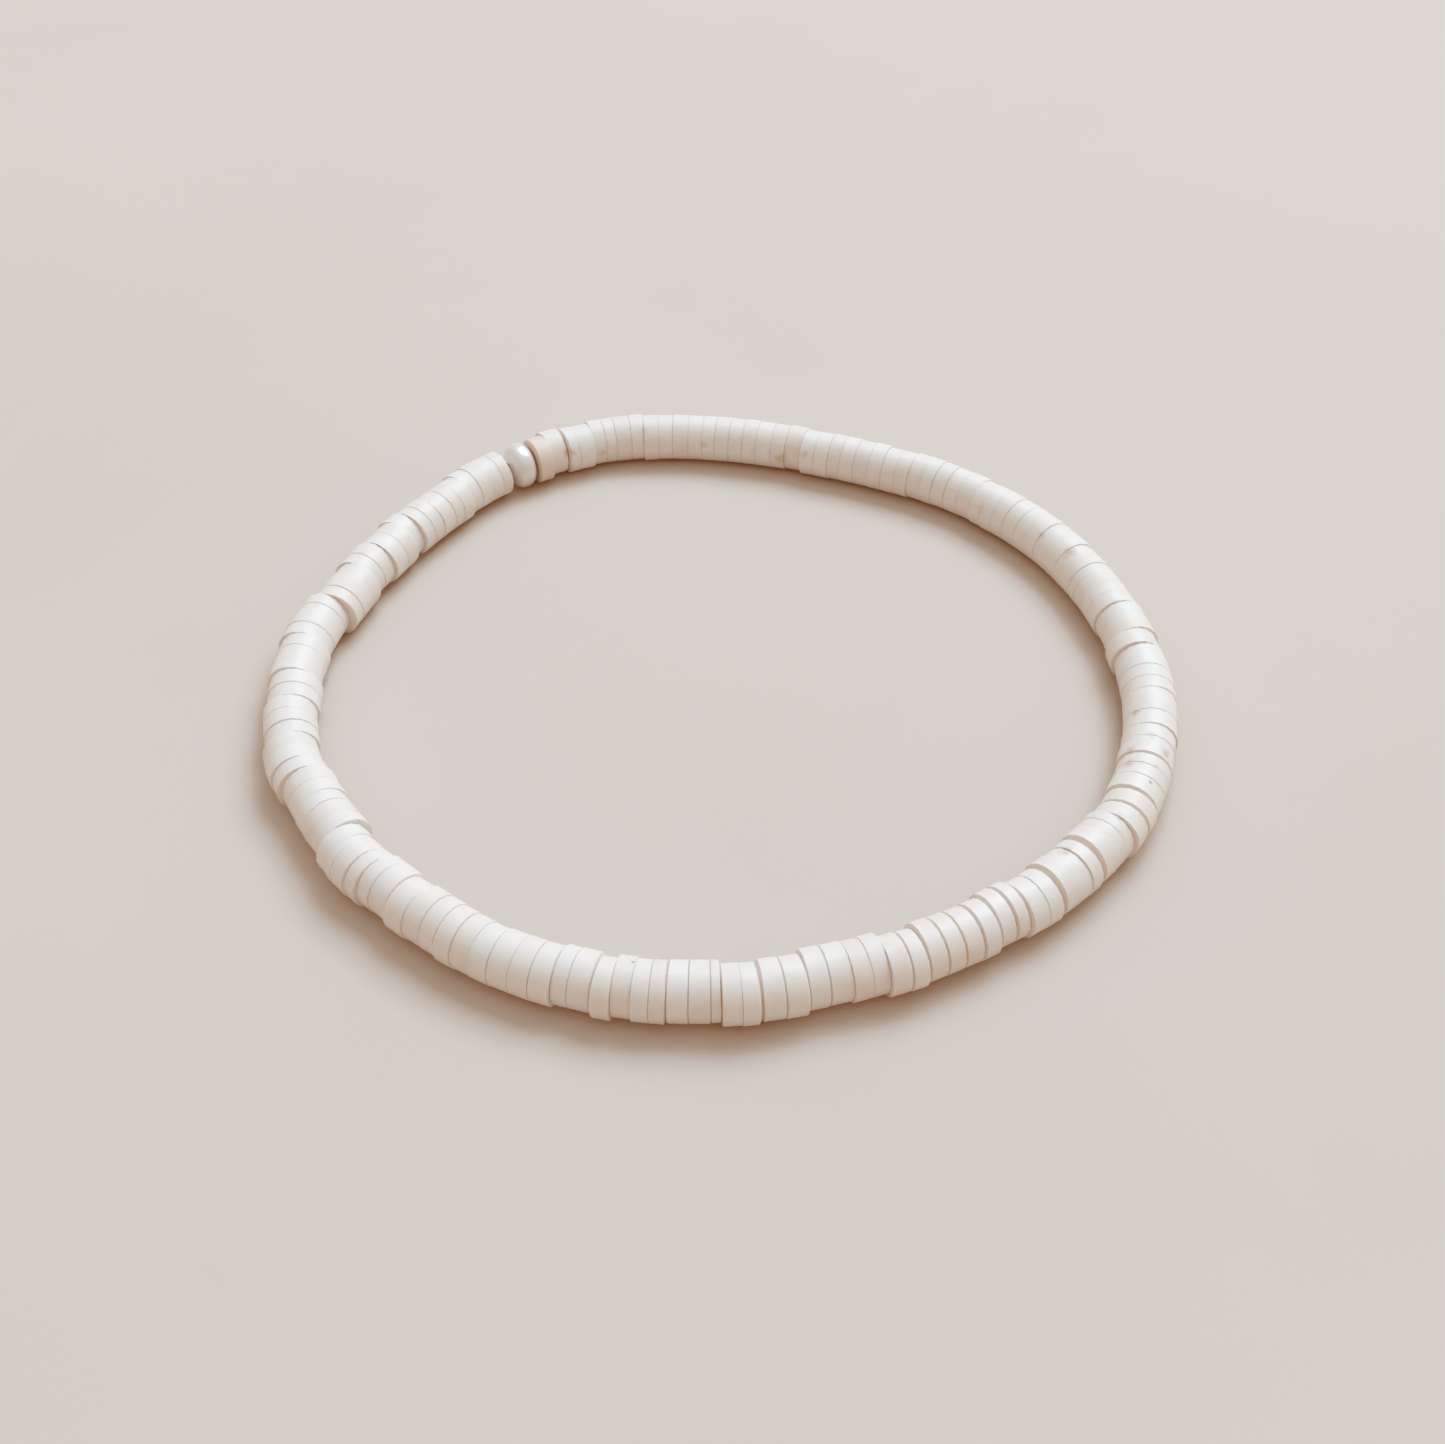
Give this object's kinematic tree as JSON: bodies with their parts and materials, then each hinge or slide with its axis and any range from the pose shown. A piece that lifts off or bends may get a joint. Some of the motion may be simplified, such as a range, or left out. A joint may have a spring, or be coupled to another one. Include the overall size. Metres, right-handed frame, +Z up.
{
  "type": "heishi bead bracelet",
  "caption": "Slim stretch bracelet: flat white heishi discs strung face to face on an elastic cord in a closed loop, with a round pearly bead over the knot.",
  "frame": {"origin": "middle of the loop's outline, on the surface that the bracelet lies on", "axes": "+Z up out of the surface, along the wrist; +Y towards the back of the loop, where the pearly bead is to the left; +X to the right"},
  "size_m": [0.0694, 0.0688, 0.0041],
  "materials": {
    "clay": "matt",
    "pearl": "glossy, pearly"
  },
  "bodies": {
    "root": {"bead_string": "clay", "knot_bead": "pearl"}
  },
  "joints": []
}
